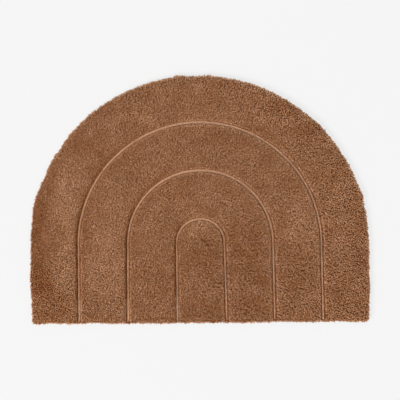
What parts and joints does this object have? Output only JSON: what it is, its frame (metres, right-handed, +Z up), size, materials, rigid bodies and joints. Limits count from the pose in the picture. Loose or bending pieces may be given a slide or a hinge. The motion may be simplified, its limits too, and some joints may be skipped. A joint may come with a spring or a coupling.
{
  "type": "half-round cut-pile doormat",
  "caption": "Flat cut-pile doormat with a straight front edge, a half-round back and nested arch channels low in the pile.",
  "frame": {"origin": "middle of the mat's bounding box, on the underside that rests on the floor", "axes": "+X along the straight front edge to the right, +Y from the front edge towards the crown of the arch, +Z up"},
  "size_m": [0.7022, 0.5126, 0.0159],
  "materials": {
    "pile": "soft matt camel-brown cut pile"
  },
  "bodies": {
    "root": {"tufted_mat": "pile"}
  },
  "joints": []
}
